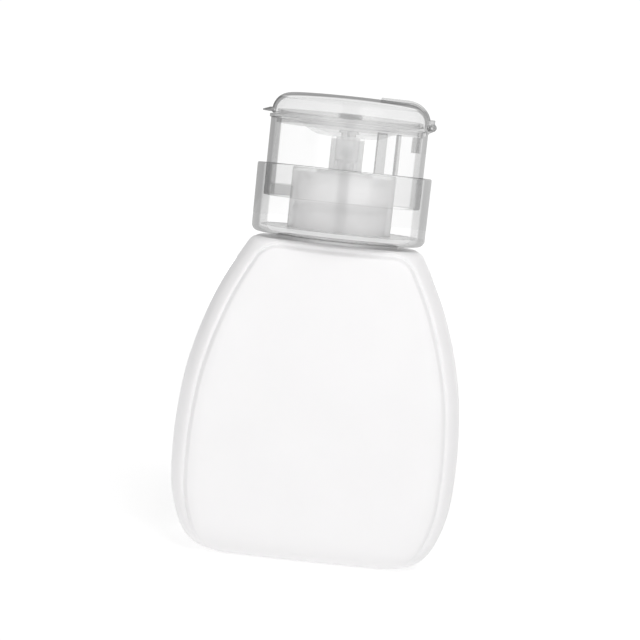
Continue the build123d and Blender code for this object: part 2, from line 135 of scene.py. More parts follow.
# Floor: its grey, its glow to the eye near the flask and far from it, and its glow as a lamp
FLOOR_HALF_WIDTH = 3.0
FLOOR_DROP = 0.02 * MM
FLOOR_GREY = 0.50
FLOOR_GLOW = 0.62
FLOOR_FAR_GLOW = 0.90
FLOOR_FAR = (0.5, 1.8)
FLOOR_BOUNCE = 0.50

# Screw thread of the 28 mm closure kind, 6 turns to the inch. The taper is an angle at either
# end, and the shares are of the ridge's width: at its ends, and half its crest
THREAD_PITCH = 4.233 * MM
THREAD_TURNS = 1.5
NECK_THREAD_HEIGHT = 1.15 * MM
THREAD_TOP_GAP = 2.6 * MM
CLOSURE_BORE_RADIUS = 14.1 * MM
CLOSURE_THREAD_HEIGHT = 1.05 * MM
THREAD_WIDTH = 1.5 * MM
THREAD_ROOT = 0.2 * MM
THREAD_TAPER = 0.5
THREAD_TIP_SHARE = 0.35
THREAD_CREST_SHARE = 0.22
THREAD_STEPS = 96

# Return spring in the pump cylinder. The coils open between two counts of turns from either end,
# and the wire's ends are domed over a few steps
SPRING_RADIUS = 4.6 * MM
SPRING_LOW = 71.0 * MM
SPRING_HIGH = 91.7 * MM
WIRE_RADIUS = 0.4 * MM
SPRING_COILS = 8
CLOSED_COIL_PITCH = 2.08 * WIRE_RADIUS
COIL_OPENING = (0.6, 1.4)
DOME_STEPS = 3
DOME_START = 0.35
COIL_STEPS = 44
WIRE_STEPS = 14

# Heights and radii at which the clear mouldings change
COLLAR_RIM = 116.4 * MM
COLLAR_FLOOR = 98.0 * MM
COLLAR_INNER_RADIUS = 24.0 * MM
SKIRT_INNER_RADIUS = 22.1 * MM
SKIRT_BEAD_TOP = 110.4 * MM
LUG_LOW = 123.7 * MM
LUG_START = 19.2 * MM
LUG_HALF_WIDTH = 4.5 * MM
COLLAR_SOLE = 96.9 * MM
LEDGE_RADIUS = 14.4 * MM
LID_RADIUS = 23.5 * MM
LID_TOP = 137.65 * MM
LID_CORNER_RADIUS = 5.4 * MM
LID_WALL = 1.4 * MM
DISH_LEDGE_RADIUS = 18.3 * MM
DISH_INNER_RADIUS = 22.2 * MM
SLEEVE_RADIUS = 5.0 * MM
SLEEVE_BORE_RADIUS = 3.6 * MM
SLEEVE_TOP = 125.5 * MM
SEAL_DISC_LOW = 131.5 * MM
SEAL_DISC_TOP = 133.1 * MM

# Offsets from those limits between which a zone's mask goes from 0 to 1
SHARP = 0.05 * MM
WALL_STEP = (0.12 * MM, 0.20 * MM)
SLAB_STEP = (0.5 * MM, 0.6 * MM)
GUIDE_STEP = (-0.25 * MM, -0.15 * MM)
LUG_STEP = (-0.2 * MM, -0.1 * MM)
ROOF_STEP = (-1.0 * MM, -0.8 * MM)
LID_TOP_STEP = (-1.5 * MM, -0.9 * MM)
TAB_STEP = (0.2 * MM, 0.4 * MM)
STRAP_STEP = (0.08 * MM, 0.12 * MM)
STRAP_FACE_STEP = (0.3 * MM, 0.4 * MM)
KNUCKLE_STEP = (0.7 * MM, 0.9 * MM)
RIM_STEP = (0.0, 2.0 * MM)
MARGIN = 0.1 * MM
# The same for how far a face turns away, from 0 to 1, on either side of a band or line
BAND_BLUR = 0.02
LINE_BLUR = 0.03
# Places from left to right, from front to back, or out from the middle for the front stripe,
# between which a mask goes from 0 to 1
# LEFT_TO_RIGHT and the rim's span below set where painted shade on the left fades out
LEFT_TO_RIGHT = (-10 * MM, 10 * MM)
BEAD_END = (-15 * MM, -14 * MM)
FAR_HALF = (-2 * MM, 2 * MM)
HINGE_SIDE = (-1 * MM, 1 * MM)
RIM_PAINTED_SHADE_FADE = (-18 * MM, -6 * MM)
STRIPE_EDGE = (0.6 * MM, 2.4 * MM)
STRIPE_BACK = (-1 * MM, 0.0)

# Finishes: refraction of plastic and glass, gloss of clear plastic face on and more of it edge-on,
# and how far milky plastic turns away where its darker edge begins and is full
REFRACTION = 1.5
GLOSS_FACING = 0.02
GLOSS_EDGE = 0.22
MILKY_EDGE = (0.4, 0.88)


def blend(low, high, value):
    """Smooth step: 0 at low, 1 at high, with level ends, by the cubic 3t^2 - 2t^3."""
    t = np.clip((value - low) / (high - low), 0, 1)
    return t * t * (3 - 2 * t)


def catmull(rows, count_per_span):
    """Points on the smooth curve through the rows: a cubic between each pair, with end slopes taken
    from the neighbours."""
    rows = np.asarray(rows, float)
    steps = np.sqrt(np.linalg.norm(np.diff(rows, axis=0), axis=1))
    knots = np.concatenate([[0], np.cumsum(steps)])
    slopes = np.gradient(rows, knots, axis=0)
    spans = []
    for index in range(len(rows) - 1):
        t = np.linspace(0, 1, count_per_span, endpoint=False)[:, None]
        width = knots[index + 1] - knots[index]
        first = (2 * t**3 - 3 * t**2 + 1) * rows[index]
        first = first + (t**3 - 2 * t**2 + t) * width * slopes[index]
        second = (3 * t**2 - 2 * t**3) * rows[index + 1]
        second = second + (t**3 - t**2) * width * slopes[index + 1]
        spans.append(first + second)
    return np.concatenate(spans + [rows[-1:]])


def rounded(corners):
    """A profile through corners of (radius, height, rounding): each corner becomes a tangent arc,
    with a point on the straight run just before and after it that keeps the run's shading flat."""
    corners = np.asarray(corners, float)
    points = []
    for index, (x, z, radius) in enumerate(corners):
        here = np.array([x, z])
        if radius <= 0:
            points.append(here[None])
            continue
        before = corners[index - 1, :2] - here
        after = corners[(index + 1) % len(corners), :2] - here
        before = before / np.linalg.norm(before)
        after = after / np.linalg.norm(after)
        half = math.acos(np.clip(before @ after, -1, 1)) / 2
        reach = radius / math.tan(half)
        centre = here + (before + after) / np.linalg.norm(before + after) * radius / math.sin(half)
        start = here + before * reach - centre
        end = here + after * reach - centre
        sweep = math.atan2(start[0] * end[1] - start[1] * end[0], start @ end)
        angle = np.linspace(0, sweep, ARC_STEPS)[:, None]
        across = np.array([-start[1], start[0]])
        arc = centre + np.cos(angle) * start + np.sin(angle) * across
        lead = here + before * (reach + radius * ARC_LEAD_SHARE)
        trail = here + after * (reach + radius * ARC_LEAD_SHARE)
        points.append(np.concatenate([lead[None], arc, trail[None]]))
    return np.concatenate(points)


def skin(name, rings, foot, crown):
    """A closed mesh over a grid of rings: each ring joins the next, and a foot point before the
    first and a crown point past the last close the ends with fans."""
    rows, around = rings.shape[:2]
    index = np.arange(rows * around).reshape(rows, around)
    lower, upper = index[:-1], index[1:]
    quads = np.stack([lower, np.roll(lower, -1, 1), np.roll(upper, -1, 1), upper], -1)
    points = np.concatenate([rings.reshape(-1, 3), [foot], [crown]])
    foot_tip = np.full(around, len(points) - 2)
    crown_tip = np.full(around, len(points) - 1)
    faces = quads.reshape(-1, 4).tolist()
    faces += np.stack([foot_tip, np.roll(index[0], -1), index[0]], -1).tolist()
    faces += np.stack([index[-1], np.roll(index[-1], -1), crown_tip], -1).tolist()
    mesh = bpy.data.meshes.new(name)
    mesh.from_pydata(points.tolist(), [], faces)
    mesh.validate()
    mesh.shade_smooth()
    piece = bpy.data.objects.new(name, mesh)
    bpy.context.scene.collection.objects.link(piece)
    return piece


def bottle_levels():
    """Height, half width and half depth of the bottle's level sections, none past the full size."""
    table = np.stack([np.array(HEIGHT_SHARES) * BODY_HEIGHT,
                      np.array(WIDTH_SHARES) * BODY_WIDTH / 2,
                      np.array(DEPTH_SHARES) * BODY_DEPTH / 2], -1)
    levels = catmull(table, SPAN_STEPS)
    levels[:, 1] = np.minimum(levels[:, 1], BODY_WIDTH / 2)
    levels[:, 2] = np.minimum(levels[:, 2], BODY_DEPTH / 2)
    return levels


def quadrant(half_width, half_depth):
    """A quarter of each level section, from the side's middle to the front's middle: a side arc,
    a corner arc with its points gathered at the panel's edge, and a front arc, all tangent."""
    a, b = half_width[:, None], half_depth[:, None]
    front_crown, side_crown = b * FRONT_CROWN_SHARE, b * SIDE_CROWN_SHARE
    corner_x, corner_y = a - side_crown, b - front_crown
    front_radius = (corner_x**2 + front_crown**2) / (2 * front_crown)
    side_radius = (corner_y**2 + side_crown**2) / (2 * side_crown)
    radius = b * CORNER_RADIUS_SHARE
    front_y, side_x = b - front_radius, a - side_radius
    reach_front, reach_side = front_radius - radius, side_radius - radius
    gap = np.hypot(side_x, front_y)
    along = (reach_front**2 - reach_side**2 + gap**2) / (2 * gap)
    off = np.sqrt(reach_front**2 - along**2)
    way_x, way_y = side_x / gap, -front_y / gap
    centre_x = along * way_x + off * way_y
    centre_y = front_y + along * way_y - off * way_x
    start = np.arctan2(centre_y, centre_x - side_x)
    stop = np.arctan2(centre_y - front_y, centre_x)
    side_angle = start * np.linspace(0, 1, SIDE_STEPS, endpoint=False)
    edge = np.arccos(np.clip((a - PANEL_INSET - centre_x) / radius, -1, 1))
    spread = PANEL_EDGE / radius
    low, high = np.clip(edge - spread, start, stop), np.clip(edge + spread, start, stop)
    share = np.linspace(0, 1, EDGE_STEPS, endpoint=False)
    corner_angle = np.concatenate([
        start + (low - start) * share[::2], low + (high - low) * share,
        high + (stop - high) * share[::2]], 1)
    front_angle = stop + (np.pi / 2 - stop) * np.linspace(0, 1, FRONT_STEPS)
    x = np.concatenate([side_x + side_radius * np.cos(side_angle),
                        centre_x + radius * np.cos(corner_angle),
                        front_radius * np.cos(front_angle)], 1)
    y = np.concatenate([side_radius * np.sin(side_angle),
                        centre_y + radius * np.sin(corner_angle),
                        front_y + front_radius * np.sin(front_angle)], 1)
    return x, y


def whole_section(x, y):
    """Mirrors a quarter into the whole ring, counter-clockwise from the side at +X."""
    x_all = np.concatenate([x, -x[:, -2::-1], -x[:, 1:], x[:, -2:0:-1]], 1)
    y_all = np.concatenate([y, y[:, -2::-1], -y[:, 1:], -y[:, -2:0:-1]], 1)
    return x_all, y_all


def panel_relief(x, z, half_width):
    """Height of the panel's face over the body: a smooth step across its edge with a shallow
    groove at the foot. The edge is the outline drawn in, its top edge hollow, its corners round."""
    panel_top = BODY_HEIGHT - PANEL_TOP_DROP
    side_gap = half_width - PANEL_INSET - np.abs(x)
    sag = PANEL_TOP_SAG * (1 - np.clip(np.abs(x) / PANEL_TOP_HALF_WIDTH, 0, 1) ** 2)
    top_gap = panel_top - sag - z
    short = np.maximum(PANEL_CORNER_RADIUS - np.stack([side_gap, top_gap]), 0)
    corner = np.hypot(short[0], short[1])
    inside = np.minimum(np.minimum(side_gap, top_gap), PANEL_CORNER_RADIUS - corner)
    step = PANEL_RISE * blend(-PANEL_EDGE / 2, PANEL_EDGE / 2, inside)
    groove = GROOVE_DEPTH * np.exp(-((inside + PANEL_EDGE / 2) / GROOVE_WIDTH) ** 2)
    return step - groove * blend(*GROOVE_FADE, z)


def make_bottle_skin():
    """The bottle as one closed skin: body, neck ring, neck, bore and the hollow inside. The panel's
    relief fades out round the sides, over y from 0.3 to 0.8 of the half depth."""
    levels = bottle_levels()
    first, last = PANEL_TOP_ZONE
    extra = np.linspace(BODY_HEIGHT - first, BODY_HEIGHT - last, PANEL_TOP_RINGS)
    knots = levels[:, 0]
    heights = np.sort(np.concatenate([knots[knots < extra[0]], extra, knots[knots > extra[-1]]]))
    half_width = np.interp(heights, knots, levels[:, 1])
    half_depth = np.interp(heights, knots, levels[:, 2])
    x, y = whole_section(*quadrant(half_width, half_depth))
    z = heights[:, None] + 0 * x
    facing = np.clip(np.abs(y) / half_depth[:, None] * 2 - 0.6, 0, 1)
    y = y + np.sign(y) * panel_relief(x, z, half_width[:, None]) * facing
    outer_rings = np.stack([x, y, z], -1)
    angle = np.arctan2(y[-1], x[-1])
    circle = np.stack([np.cos(angle), np.sin(angle)], -1)

    def hoop(radius, height):
        """A round ring with as many points as a section."""
        return np.concatenate([circle * radius, np.full((len(circle), 1), height)], 1)[None]

    neck = rounded([
        (NECK_RING_RADIUS, BODY_HEIGHT, 0), (NECK_RING_RADIUS, NECK_RING_TOP, RING_ROUNDING),
        (NECK_RADIUS, NECK_RING_TOP, NECK_FOOT_ROUNDING),
        (NECK_RADIUS, NECK_TOP, NECK_EDGE_ROUNDING),
        (NECK_BORE_RADIUS, NECK_TOP, NECK_EDGE_ROUNDING), (NECK_BORE_RADIUS, BORE_FOOT, 0)])
    neck_rings = np.concatenate([hoop(radius, height) for radius, height in neck])
    inner_height = BOTTLE_WALL + np.array(HOLLOW_SHARES) * (BODY_HEIGHT - 2 * BOTTLE_WALL)
    inner_width = np.interp(inner_height, knots, levels[:, 1]) - BOTTLE_WALL
    inner_depth = np.interp(inner_height, knots, levels[:, 2]) - BOTTLE_WALL
    inner_x, inner_y = whole_section(*quadrant(inner_width, inner_depth))
    inner_rings = np.stack([inner_x, inner_y, inner_height[:, None] + 0 * inner_x], -1)
    ring_foot = hoop(NECK_RING_RADIUS + RING_FOOT_SPREAD, BODY_HEIGHT)
    base = outer_rings[0] * np.array([1, 1, 0]) * np.array(BASE_RECESS_SHARES)[:, None, None]
    base[:, :, 2] = np.array([0.0, BASE_RECESS, BASE_RECESS])[:, None]
    rings = np.concatenate([base[::-1], outer_rings, ring_foot, neck_rings, inner_rings])
    return skin("bottle_skin", rings, foot=(0, 0, BASE_RECESS), crown=(0, 0, HOLLOW_FLOOR))


def ridge(name, radius, height, low, turns, outward):
    """A screw ridge: a trapezoid section carried up a helix, z = pitch * angle / 2 pi, sunk into
    the wall it stands on and tapering away at both ends. Outward is 1 on a neck, -1 in a cap."""
    angle = np.linspace(0, 2 * np.pi * turns, int(THREAD_STEPS * turns))
    taper = blend(0, THREAD_TAPER, angle) * blend(0, THREAD_TAPER, angle[-1] - angle)
    rise = THREAD_PITCH * angle / (2 * np.pi)
    section = np.array([(-THREAD_ROOT, -0.5), (height, -THREAD_CREST_SHARE),
                        (height, THREAD_CREST_SHARE), (-THREAD_ROOT, 0.5)])
    reach = section[None, :, 0] * np.where(section[None, :, 0] > 0, taper[:, None], 1)
    around = radius + outward * reach
    width = THREAD_WIDTH * (THREAD_TIP_SHARE + (1 - THREAD_TIP_SHARE) * taper[:, None])
    z = low + rise[:, None] + section[None, :, 1] * width
    rings = np.stack([around * np.cos(angle)[:, None], around * np.sin(angle)[:, None], z], -1)
    if outward > 0:
        rings = rings[:, ::-1]
    return skin(name, rings, foot=rings[0].mean(0), crown=rings[-1].mean(0))


def coil_spring():
    """The return spring: a round wire section carried along a helix whose pitch closes up over the
    last turn at each end. Height runs as the sum of the local pitch, and the ends are domed."""
    turns = SPRING_COILS + 2
    angle = np.linspace(0, 2 * np.pi * turns, COIL_STEPS * turns)
    turn = angle / (2 * np.pi)
    open_share = blend(*COIL_OPENING, turn) * blend(*COIL_OPENING, turns - turn)
    room = SPRING_HIGH - SPRING_LOW - 2 * WIRE_RADIUS - CLOSED_COIL_PITCH * turns
    climb = CLOSED_COIL_PITCH * turn + room * np.cumsum(open_share) / open_share.sum()
    centre = np.stack([SPRING_RADIUS * np.cos(angle), SPRING_RADIUS * np.sin(angle),
                       SPRING_LOW + WIRE_RADIUS + climb], -1)
    along = np.gradient(centre, axis=0)
    along = along / np.linalg.norm(along, axis=1)[:, None]
    out = np.stack([np.cos(angle), np.sin(angle), 0 * angle], -1)
    across = np.cross(along, out)
    around = np.linspace(0, 2 * np.pi, WIRE_STEPS, endpoint=False)[None, :, None]
    order = np.arange(len(angle))
    ends = np.clip(np.minimum(order, order[::-1]) / DOME_STEPS, DOME_START, 1)
    size = (WIRE_RADIUS * np.sin(ends * np.pi / 2))[:, None, None]
    section = np.cos(around) * out[:, None] + np.sin(around) * across[:, None]
    rings = centre[:, None] + size * section
    return skin("coil_spring", rings[:, ::-1], foot=centre[0], crown=centre[-1])


class Number:
    """A shader socket in a sum: an expression on it adds the Math nodes that work it out."""

    def __init__(self, finish, socket):
        self.finish = finish
        self.socket = socket

    def sum(self, operation, first, second):
        """The Number that a Math node works out of two others."""
        node = self.finish.node("ShaderNodeMath", {"operation": operation}, {0: first, 1: second})
        return Number(self.finish, node.outputs[0])

    def __add__(self, other):
        return self.sum("ADD", self, other)

    def __sub__(self, other):
        return self.sum("SUBTRACT", self, other)

    def __rsub__(self, other):
        return self.sum("SUBTRACT", other, self)

    def __mul__(self, other):
        return self.sum("MULTIPLY", self, other)

    def __pow__(self, other):
        return self.sum("POWER", self, other)

    def size(self):
        """The number without its sign."""
        return self.sum("ABSOLUTE", self, 0.0)

    def larger(self, other):
        """The larger of two numbers."""
        return self.sum("MAXIMUM", self, other)

    def rise(self, low, high):
        """0 below the low value, 1 above the high one, with a smooth step between."""
        node = self.finish.node("ShaderNodeMapRange", {"interpolation_type": "SMOOTHSTEP"},
                                {0: self, 1: low, 2: high})
        return Number(self.finish, node.outputs[0])

    __radd__ = __add__
    __rmul__ = __mul__


class Finish:
    """The nodes of one material or of the world."""

    def __init__(self, owner, output="ShaderNodeOutputMaterial", place="Object"):
        self.owner = owner
        owner.use_nodes = True
        self.tree = owner.node_tree
        self.tree.nodes.clear()
        self.output = self.node(output)
        self.place = self.node("ShaderNodeTexCoord").outputs[place]

    def node(self, kind, settings=None, inputs=None):
        """A new node with its settings and inputs, each of them a value, a socket or a Number."""
        node = self.tree.nodes.new(kind)
        for key, value in (settings or {}).items():
            setattr(node, key, value)
        for key, value in (inputs or {}).items():
            self.feed(node.inputs[key], value)
        return node

    def feed(self, socket, value):
        """Links a socket to what feeds it, or sets its constant value."""
        if isinstance(value, Number):
            value = value.socket
        if isinstance(value, bpy.types.NodeSocket):
            self.tree.links.new(value, socket)
        else:
            socket.default_value = value

    def position(self):
        """Where a point lies in the piece's own coordinates, or the way a ray of the world goes: x,
        y, z and the distance from the axis."""
        split = self.node("ShaderNodeSeparateXYZ", {}, {0: self.place})
        x, y, z = (Number(self, socket) for socket in split.outputs)
        return x, y, z, (x * x + y * y) ** 0.5

    def ray(self, kind):
        """1 for rays of one kind, 0 for others."""
        return Number(self, self.node("ShaderNodeLightPath").outputs[f"Is {kind} Ray"])

    def facing(self):
        """How far the surface turns away from the eye: 0 facing it, 1 edge-on."""
        node = self.node("ShaderNodeLayerWeight", {}, {"Blend": 0.5})
        return Number(self, node.outputs["Facing"])

    def near(self):
        """1 where the eye meets a surface from outside, 0 from within the plastic."""
        return 1 - Number(self, self.node("ShaderNodeNewGeometry").outputs["Backfacing"])

    def noise(self, size, detail=2.0, stretch=None):
        """Noise in the piece's own coordinates, with grains of a given size in metres."""
        place = self.place
        if stretch:
            inputs = {"Vector": place, "Scale": stretch}
            place = self.node("ShaderNodeMapping", {}, inputs).outputs[0]
        inputs = {"Vector": place, "Scale": 1 / size, "Detail": detail}
        return Number(self, self.node("ShaderNodeTexNoise", {}, inputs).outputs[0])

    def mix(self, factor, first, second):
        """A colour between two, by a factor from 0 to 1."""
        node = self.node("ShaderNodeMix", {"data_type": "RGBA"}, {0: factor, 6: first, 7: second})
        return node.outputs[2]

    def bump(self, height, distance, strength):
        """The surface's direction over a fine relief of some height in metres."""
        inputs = {"Height": height, "Distance": distance, "Strength": strength}
        return self.node("ShaderNodeBump", {}, inputs).outputs[0]

    def blend(self, factor, first, second):
        """Two shaders blended by a factor from 0, all first, to 1, all second."""
        inputs = {0: factor, 1: first.outputs[0], 2: second.outputs[0]}
        return self.node("ShaderNodeMixShader", {}, inputs)

    def window(self, tint):
        """Plain sight through, greyed by a tint."""
        return self.node("ShaderNodeBsdfTransparent", {}, {"Color": grey(tint)})

    def principled(self, **values):
        """A Principled surface; an underscore in a value's name stands for a space."""
        inputs = {key.replace("_", " "): value for key, value in values.items()}
        return self.node("ShaderNodeBsdfPrincipled", {}, inputs)

    def finish(self, shader, volume=None):
        """Joins the shaders to the output and gives back the material or world."""
        self.feed(self.output.inputs["Surface"], shader.outputs[0])
        if volume is not None:
            self.feed(self.output.inputs["Volume"], volume.outputs[0])
        return self.owner


def finish_named(name):
    """A new, empty material."""
    return Finish(bpy.data.materials.new(name))


def grey(level):
    """A neutral colour."""
    return (level, level, level, 1.0)


def bottle_finish():
    """Satin white blow-moulded plastic: faint clouding, fine orange peel and a soft gloss."""
    f = finish_named("bottle_white_plastic")
    cloud = f.noise(18 * MM, 3.0)
    fine = f.noise(0.7 * MM, 2.0)
    colour = f.mix(cloud, (0.90, 0.892, 0.896, 1), (0.94, 0.932, 0.936, 1))
    rough = 0.34 + 0.10 * fine
    relief = f.bump(fine, 0.02 * MM, 0.5)
    return f.finish(f.principled(Base_Color=colour, Roughness=rough, Normal=relief, IOR=REFRACTION))


def turned_away(f, outer, band_start, line_start, lift=0.0):
    """Two masks for thick clear plastic, which darkens in two steps where its outer face turns away
    from the eye: the band and the outermost line. Inner faces don't count. A lift brings both
    nearer."""
    facing = f.facing() + lift
    band = outer * facing.rise(band_start - BAND_BLUR, band_start + BAND_BLUR)
    line = outer * facing.rise(line_start - LINE_BLUR, line_start + LINE_BLUR)
    return band, line


def past(distance, limit, step):
    """0 before a limit and 1 past it, with a soft step between two offsets from it."""
    return distance.rise(limit + step[0], limit + step[1])


def outside(radius, inner_radius):
    """1 on faces beyond a wall's inner radius, 0 on the inner ones."""
    return past(radius, inner_radius, WALL_STEP)


def below(z, height):
    """1 where a height or a radius is less than a limit."""
    return 1 - z.rise(height - SHARP, height + SHARP)


def painted_shade_left(x, share):
    """Painted shade on the left: 1 on the left and less by a share on the right, with a wide soft
    step over the middle.
    """
    return 1 - share * x.rise(*LEFT_TO_RIGHT)


def collar_zones(f):
    """A floor that light doesn't pass, a darker sole under it that is partly painted shade, and
    edge bands with painted shade on the left."""
    x, _, z, radius = f.position()
    # painted shade: the edge bands are darker on the left
    outer = outside(radius, COLLAR_INNER_RADIUS) * painted_shade_left(x, 0.3)
    band, line = turned_away(f, outer, 0.44, 0.60)
    slab = below(z, COLLAR_FLOOR + MARGIN) * past(radius, LEDGE_RADIUS, SLAB_STEP)
    # the sole's darker tint is partly painted shade under the collar; it also dims light going down
    sole = slab * below(z, COLLAR_SOLE)
    return [(slab, 0.9, 0.75), (sole, 0.85, 0.30), (band, 0.82, 0), (line, 0.64, 0)]


def skirt_zones(f):
    """Edge bands with painted shade on the left, a faint veil on the far half where it runs in the
    collar, grey guides and lug, and a bead that shows on the left."""
    x, y, z, radius = f.position()
    # painted shade: the edge bands are darker on the left
    outer = outside(radius, SKIRT_INNER_RADIUS) * painted_shade_left(x, 0.45)
    band, line = turned_away(f, outer, 0.50, 0.66)
    foot = below(z, COLLAR_RIM)
    guides = (1 - past(radius, SKIRT_INNER_RADIUS, GUIDE_STEP)) * (1 - foot)
    bead = below(z, SKIRT_BEAD_TOP) * (1 - x.rise(*BEAD_END))
    lug = (1 - below(z, LUG_LOW)) * below(y.size(), LUG_HALF_WIDTH + MARGIN)
    lug = lug * past(x, LUG_START, LUG_STEP)
    veil = foot * y.rise(*FAR_HALF)
    return [(veil, 0.96, 0), (guides, 0.70, 0), (bead, 0.87, 0),
            (lug, 0.76, 0), (band, 0.72, 0), (line, 0.62, 0)]


def lid_zones(f):
    """A thin dark outline, thicker along the top, a grey tab, and a hazy hinge strap with a dark
    line at its foot. The outer face is told from the inner one by its distance from the middle of
    the corner's rounding."""
    x, _, z, radius = f.position()
    middle_radius, middle_height = LID_RADIUS - LID_CORNER_RADIUS, LID_TOP - LID_CORNER_RADIUS
    across, up = (radius - middle_radius).larger(0.0), (z - middle_height).larger(0.0)
    away = (across * across + up * up) ** 0.5
    outer = away.rise(LID_CORNER_RADIUS - 0.5 * LID_WALL, LID_CORNER_RADIUS - 0.4 * LID_WALL)
    outer = outer * past(radius, middle_radius, ROOF_STEP)
    top = past(z, LID_TOP, LID_TOP_STEP)
    outer = outer * (1 - top * (1 - f.near()))
    band, line = turned_away(f, outer, 0.68, 0.80, 0.30 * top)
    right = x.rise(*HINGE_SIDE)
    tab = past(radius, LID_RADIUS, TAB_STEP) * (1 - right)
    strap = past(away, LID_CORNER_RADIUS, STRAP_STEP) * right
    strap_face = past(away, LID_CORNER_RADIUS, STRAP_FACE_STEP) * right
    knuckle = past(radius, LID_RADIUS, KNUCKLE_STEP) * right
    return [(tab, 0.50, 0), (strap, 0.50, 0), (strap_face, 0.84, 0.10), (knuckle, 0.80, 0.15),
            (band, 0.60, 0), (line * (1 - 0.6 * strap_face), 0.36, 0)]


def dish_zones(f):
    """A light haze all over, a greyer sleeve, and a darker rim, lip and spigot, with painted shade
    that makes them darkest on the left."""
    x, _, z, radius = f.position()
    band, line = turned_away(f, radius.rise(0.0, 1 * MM), 0.55, 0.80)
    # painted shade: the rim and the edge bands are darker on the left
    rim = past(radius, DISH_LEDGE_RADIUS, RIM_STEP) * (1 - 0.3 * x.rise(*RIM_PAINTED_SHADE_FADE))
    outer = outside(radius, DISH_INNER_RADIUS) * painted_shade_left(x, 0.7)
    edge, edge_line = turned_away(f, outer, 0.50, 0.66)
    sleeve = outside(radius, SLEEVE_BORE_RADIUS) * below(radius, SLEEVE_RADIUS + MARGIN)
    sleeve = sleeve * below(z, SLEEVE_TOP)
    return [(1.0, 0.995, 0.04), (band, 0.985, 0.06), (line, 0.97, 0.10), (rim, 0.88, 0.06),
            (edge, 0.74, 0), (edge_line, 0.62, 0), (sleeve, 0.90, 0.25)]


def seal_zones(f):
    """A clear boss and plug on either side of a grey disc."""
    z = f.position()[2]
    disc = below(z, SEAL_DISC_TOP) * z.rise(SEAL_DISC_LOW - SHARP, SEAL_DISC_LOW + SHARP)
    return [(disc * (1 - f.facing().rise(0.1, 0.6)), 0.70, 0.05)]


def clear_finish(name, zones, density, roughness=0.04, tint=0.995, shade=0.0):
    """Polished clear moulding. Light goes straight through the wall but for a slight tint, and each
    zone, a mask with a tint and a share of haze, covers those before it. The shade is how much the
    zones count for light on its way in. Gloss grows towards the edges, and the thickness of the
    plastic absorbs light."""
    f = finish_named(name)
    flow_lines = f.noise(6 * MM, 2.0, (1.0, 1.0, 0.35))
    relief = f.bump(flow_lines, 0.05 * MM, 0.4)
    body = f.principled(Base_Color=grey(0.85), Roughness=0.5, Normal=relief)
    seen = 1 - (1 - shade) * f.ray("Shadow")
    glass = f.window(tint)
    for mask, zone_tint, haze in zones(f):
        layer = f.window(zone_tint)
        if haze:
            layer = f.blend(haze, layer, body)
        glass = f.blend(mask * seen, glass, layer)
    gloss = f.principled(Base_Color=grey(0.9), Metallic=1.0, Normal=relief,
                         Roughness=roughness + 0.03 * f.noise(1.2 * MM))
    mirror = GLOSS_FACING + GLOSS_EDGE * f.facing() ** 5
    volume = f.node("ShaderNodeVolumeAbsorption", {}, {"Color": grey(0.5), "Density": density})
    return f.finish(f.blend(mirror, glass, gloss), volume)


def frosted_finish(name, tint, roughness, clear, through=0.5, edge=0.35, front_stripe=0.0):
    """Natural milky plastic: part lit body, part glow of the light behind, part plain sight
    through, and darker towards its edges by the edge's share. A front stripe is the strength of a
    darker upright stripe painted at the front."""
    f = finish_named(name)
    x, y = f.position()[:2]
    cloud = f.noise(5 * MM, 3.0)
    fine = f.noise(0.6 * MM, 2.0)
    colour = f.mix(cloud, grey(tint * 0.97), grey(tint))
    shade = edge * f.facing().rise(*MILKY_EDGE)
    if front_stripe:
        # a darker upright stripe painted at the front of the closure
        stripe = (1 - x.size().rise(*STRIPE_EDGE)) * (1 - y.rise(*STRIPE_BACK))
        shade = shade.larger(front_stripe * stripe)
    relief = f.bump(fine, 0.02 * MM, 0.4)
    body = f.principled(Base_Color=colour, Roughness=roughness + 0.08 * fine, Normal=relief,
                        IOR=REFRACTION)
    glow = f.node("ShaderNodeBsdfTranslucent", {}, {"Color": grey(tint), "Normal": relief})
    window = f.window(0.985)
    dark = f.principled(Base_Color=grey(0.35 * tint), Roughness=0.5)
    milk = f.blend(clear, f.blend(through, body, glow), window)
    return f.finish(f.blend(shade, milk, dark))


def plain_finish(name, tint, roughness):
    """Opaque moulded plastic or rubber with a fine grain."""
    f = finish_named(name)
    fine = f.noise(0.8 * MM, 3.0)
    colour = f.mix(f.noise(6 * MM), grey(tint * 0.96), grey(tint))
    shader = f.principled(Base_Color=colour, Roughness=roughness + 0.1 * fine,
                          Normal=f.bump(fine, 0.03 * MM, 0.5))
    return f.finish(shader)


def steel_finish():
    """Drawn stainless wire: fine streaks along its length."""
    f = finish_named("spring_steel")
    streak = f.noise(0.25 * MM, 3.0, (1.0, 1.0, 4.0))
    shader = f.principled(Base_Color=f.mix(streak, grey(0.42), grey(0.62)), Metallic=1.0,
                          Roughness=0.22 + 0.15 * streak)
    return f.finish(shader)


def glass_finish():
    """Small glass balls, lightly ground."""
    f = finish_named("ball_glass")
    fine = f.noise(0.4 * MM, 2.0)
    shader = f.principled(Base_Color=f.mix(fine, (0.93, 0.95, 0.945, 1), (0.97, 0.98, 0.977, 1)),
                          Roughness=0.45 + 0.1 * fine, IOR=REFRACTION, Transmission_Weight=0.4)
    return f.finish(shader)


def dress(piece, material):
    """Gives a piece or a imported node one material."""
    if not piece.material_slots:
        piece.data.materials.append(material)
    for slot in piece.material_slots:
        slot.material = material


def make_camera():
    """The photograph's camera."""
    camera = bpy.data.cameras.new("camera")
    camera.sensor_width = SENSOR_WIDTH
    camera.lens = FOCAL_PIXELS / IMAGE_PIXELS * SENSOR_WIDTH
    camera.clip_start = CLIP_START
    holder = bpy.data.objects.new("camera", camera)
    bpy.context.scene.collection.objects.link(holder)
    holder.location = (CAMERA_SIDE, -CAMERA_DISTANCE, CAMERA_HEIGHT)
    level = Euler((math.radians(90 - CAMERA_PITCH), 0, 0)).to_matrix()
    roll = Euler((0, 0, math.radians(CAMERA_ROLL))).to_matrix()
    holder.rotation_euler = (level @ roll).to_euler()
    bpy.context.scene.camera = holder


